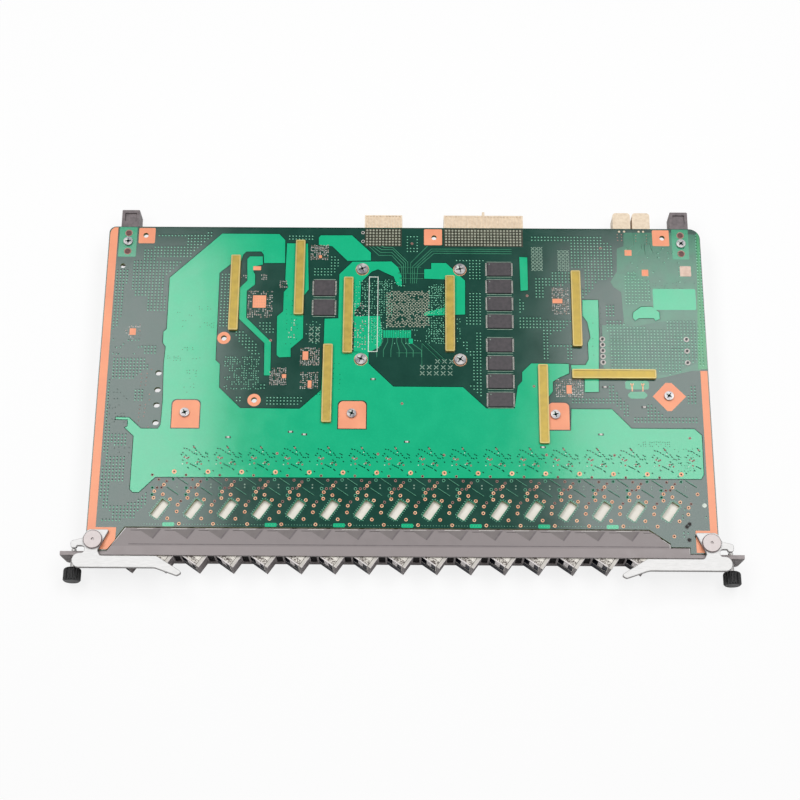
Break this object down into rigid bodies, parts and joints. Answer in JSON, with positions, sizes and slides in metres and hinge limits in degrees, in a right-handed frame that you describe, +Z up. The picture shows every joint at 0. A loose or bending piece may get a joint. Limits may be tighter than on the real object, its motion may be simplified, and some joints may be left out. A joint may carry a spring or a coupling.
{
  "type": "optical line card",
  "caption": "Chassis line card lying solder side up: green board, grey front panel with slanted optical module cages, ejector levers, thumbscrews and backplane connectors",
  "frame": {"origin": "on the table, under the middle of the card", "axes": "+X right along the front panel, +Y back towards the backplane connectors, +Z up from the component side to the solder side"},
  "size_m": [0.3964, 0.2374, 0.0248],
  "materials": {
    "board_green": "glass fibre laminate under green solder mask",
    "panel_grey": "satin grey finish on a casting",
    "cage_steel": "plated spring sheet",
    "lever_metal": "pale satin",
    "pivot_metal": "turned, bright",
    "knob_black": "moulded, semi gloss",
    "screw_steel": "plated, bright",
    "guide_grey": "moulded, satin",
    "connector_cream": "moulded, satin",
    "bar_ochre": "moulded, satin",
    "chip_black": "moulded epoxy",
    "package_metal": "nickel plated lid",
    "sink_aluminium": "extruded, clear anodised",
    "converter_black": "potted, matt",
    "stiffener_aluminium": "mill finish"
  },
  "bodies": {
    "card": {"board_screws": "screw_steel", "board_standoff": "stiffener_aluminium", "board_stiffener": "stiffener_aluminium", "circuit_board": "board_green", "flash_chip_1": "chip_black", "flash_chip_2": "chip_black", "front_panel": "panel_grey", "heat_sink": "sink_aluminium", "heat_sink_screws": "screw_steel", "inner_power_connector": "connector_cream", "large_backplane_connector": "connector_cream", "left_guide_socket": "guide_grey", "left_lever_pivot": "pivot_metal", "memory_chip_1": "chip_black", "memory_chip_2": "chip_black", "memory_chip_3": "chip_black", "memory_chip_4": "chip_black", "memory_chip_5": "chip_black", "memory_chip_6": "chip_black", "memory_chip_7": "chip_black", "memory_chip_8": "chip_black", "outer_power_connector": "connector_cream", "power_converter": "converter_black", "processor_package": "package_metal", "right_guide_socket": "guide_grey", "right_lever_pivot": "pivot_metal", "sfp_cage_01": "cage_steel", "sfp_cage_02": "cage_steel", "sfp_cage_03": "cage_steel", "sfp_cage_04": "cage_steel", "sfp_cage_05": "cage_steel", "sfp_cage_06": "cage_steel", "sfp_cage_07": "cage_steel", "sfp_cage_08": "cage_steel", "sfp_cage_09": "cage_steel", "sfp_cage_10": "cage_steel", "sfp_cage_11": "cage_steel", "sfp_cage_12": "cage_steel", "sfp_cage_13": "cage_steel", "sfp_cage_14": "cage_steel", "sfp_cage_15": "cage_steel", "sfp_cage_16": "cage_steel", "small_backplane_connector": "connector_cream", "spacer_bar_1": "bar_ochre", "spacer_bar_2": "bar_ochre", "spacer_bar_3": "bar_ochre", "spacer_bar_4": "bar_ochre", "spacer_bar_5": "bar_ochre", "spacer_bar_6": "bar_ochre", "spacer_bar_7": "bar_ochre", "spacer_bar_8": "bar_ochre"},
    "left_lever": {"left_ejector_lever": "lever_metal"},
    "right_lever": {"right_ejector_lever": "lever_metal"},
    "left_screw_slide": {"left_screw_clip": "screw_steel"},
    "right_screw_slide": {"right_screw_clip": "screw_steel"},
    "left_screw": {"left_thumbscrew_knob": "knob_black", "left_thumbscrew_shank": "screw_steel"},
    "right_screw": {"right_thumbscrew_knob": "knob_black", "right_thumbscrew_shank": "screw_steel"}
  },
  "joints": [
    {"name": "left_lever_hinge", "type": "hinge", "parent": "card", "child": "left_lever", "pos_m": [-0.1785, -0.09735, 0.0219], "axis": [0, 0, 1], "range_deg": [-38, 0]},
    {"name": "left_screw_travel", "type": "slide", "parent": "card", "child": "left_screw_slide", "axis": [0, 1, 0], "range_m": [0, 0.005]},
    {"name": "left_screw_turn", "type": "hinge", "parent": "left_screw_slide", "child": "left_screw", "pos_m": [-0.1917, -0.10495, 0.0097], "axis": [0, 1, 0], "continuous": true},
    {"name": "right_lever_hinge", "type": "hinge", "parent": "card", "child": "right_lever", "pos_m": [0.1785, -0.09735, 0.0219], "axis": [0, 0, 1], "range_deg": [0, 38]},
    {"name": "right_screw_travel", "type": "slide", "parent": "card", "child": "right_screw_slide", "axis": [0, 1, 0], "range_m": [0, 0.005]},
    {"name": "right_screw_turn", "type": "hinge", "parent": "right_screw_slide", "child": "right_screw", "pos_m": [0.1917, -0.10495, 0.0097], "axis": [0, 1, 0], "continuous": true}
  ]
}
